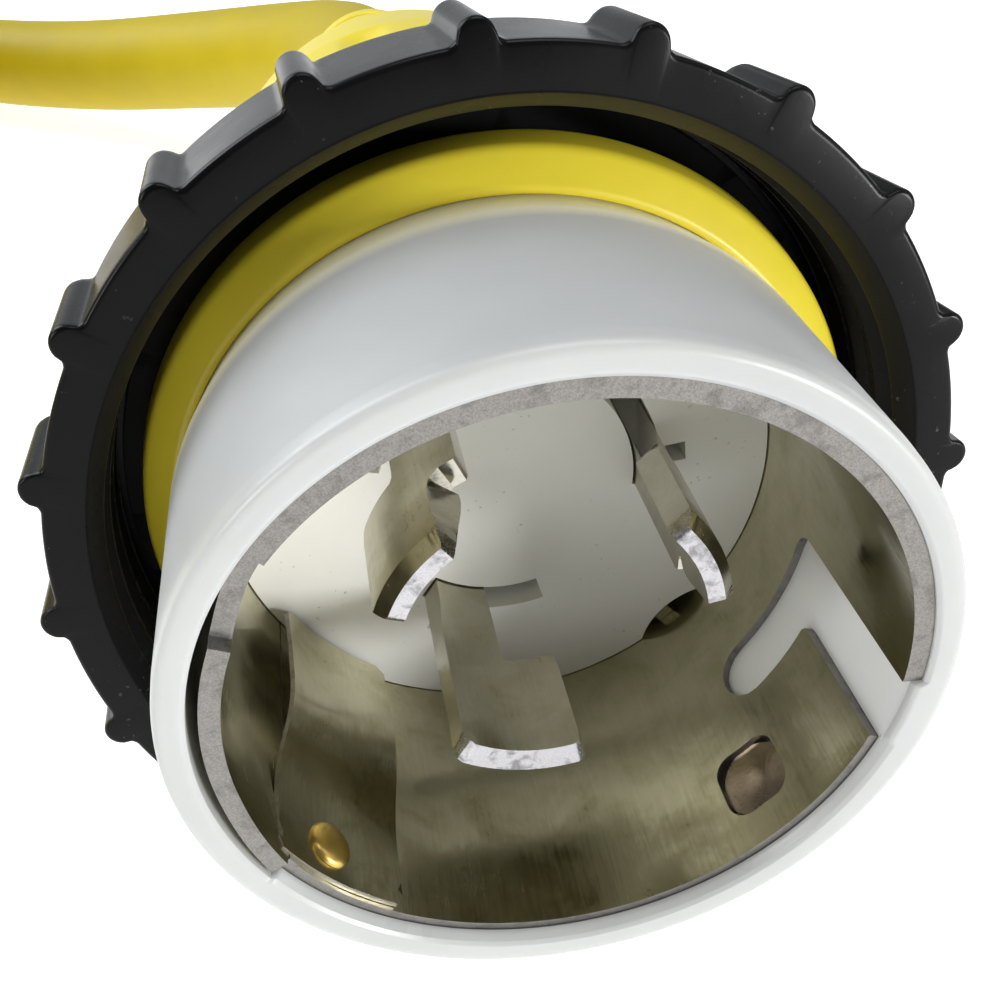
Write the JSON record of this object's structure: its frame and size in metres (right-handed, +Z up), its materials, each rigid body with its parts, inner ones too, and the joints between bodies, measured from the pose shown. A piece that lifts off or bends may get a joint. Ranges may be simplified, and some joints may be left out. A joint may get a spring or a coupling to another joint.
{
  "type": "shore power cord",
  "caption": "Thick coiled shore power cord with a twist-lock plug and connector, moulded bodies and ribbed threaded sealing rings",
  "frame": {"origin": "on the surface under the middle of the plug, which is the centre of the plug's bounding box in plan", "axes": "+Y along the plug from its mouth to its cable end, +Z up from the surface"},
  "size_m": [0.5749, 0.4709, 0.0865],
  "materials": {
    "white_nylon": "satin moulded nylon",
    "grey_nylon": "satin moulded nylon",
    "nickel": "nickel-plated brass, dull",
    "brass": "machined brass",
    "copper": "bare copper strands",
    "black_insulation": "thermoplastic insulation",
    "red_insulation": "thermoplastic insulation",
    "white_insulation": "thermoplastic insulation",
    "green_insulation": "thermoplastic insulation",
    "yellow_vinyl": "satin vinyl",
    "premould": "rigid inner moulding",
    "black_ring": "satin glass-filled nylon",
    "black_washer": "acetal washer",
    "connector_nylon": "satin moulded nylon",
    "gasket_rubber": "soft rubber",
    "strap": "woven hook-and-loop tape"
  },
  "bodies": {
    "cord": {"cable_coil": "yellow_vinyl", "cable_lead": "yellow_vinyl", "cable_tail": "yellow_vinyl", "coil_straps": "strap", "connector_body": "yellow_vinyl", "connector_contact_hot_x": "brass", "connector_contact_hot_y": "brass", "connector_contact_neutral": "brass", "connector_gasket": "gasket_rubber", "connector_ground_band": "nickel", "connector_ground_lug": "nickel", "connector_jacket_end": "yellow_vinyl", "connector_nose": "connector_nylon", "connector_premould": "premould", "connector_strain_relief": "yellow_vinyl", "connector_wire_black": "black_insulation", "connector_wire_ends": "copper", "connector_wire_green": "green_insulation", "connector_wire_red": "red_insulation", "connector_wire_white": "white_insulation", "plug_blade_hot_x": "nickel", "plug_blade_hot_y": "nickel", "plug_blade_neutral": "nickel", "plug_body": "yellow_vinyl", "plug_core": "grey_nylon", "plug_ground_lug": "nickel", "plug_ground_shell": "nickel", "plug_ground_spring": "nickel", "plug_jacket_end": "yellow_vinyl", "plug_lug_rivet": "brass", "plug_premould": "premould", "plug_shroud": "white_nylon", "plug_spring_rivet": "brass", "plug_strain_relief": "yellow_vinyl", "plug_wire_black": "black_insulation", "plug_wire_ends": "copper", "plug_wire_green": "green_insulation", "plug_wire_red": "red_insulation", "plug_wire_white": "white_insulation"},
    "plug_ring_slider": {"plug_ring_washer": "black_washer"},
    "plug_ring_turner": {"plug_ring": "black_ring"},
    "connector_ring_slider": {"connector_ring_washer": "black_washer"},
    "connector_ring_turner": {"connector_ring": "black_ring"}
  },
  "joints": [
    {"name": "plug_ring_slide", "type": "slide", "parent": "cord", "child": "plug_ring_slider", "axis": [0, 1, 0], "range_m": [0, 0.009]},
    {"name": "plug_ring_spin", "type": "hinge", "parent": "plug_ring_slider", "child": "plug_ring_turner", "pos_m": [0.00032, -0.071, 0.04381], "axis": [-0.0388, 0.9951, -0.0906], "continuous": true},
    {"name": "connector_ring_slide", "type": "slide", "parent": "cord", "child": "connector_ring_slider", "axis": [-1, 0, 0], "range_m": [-0.003, 0.009]},
    {"name": "connector_ring_spin", "type": "hinge", "parent": "connector_ring_slider", "child": "connector_ring_turner", "pos_m": [-0.1554, -0.075, 0.04284], "axis": [-1, 0, 0], "continuous": true}
  ]
}
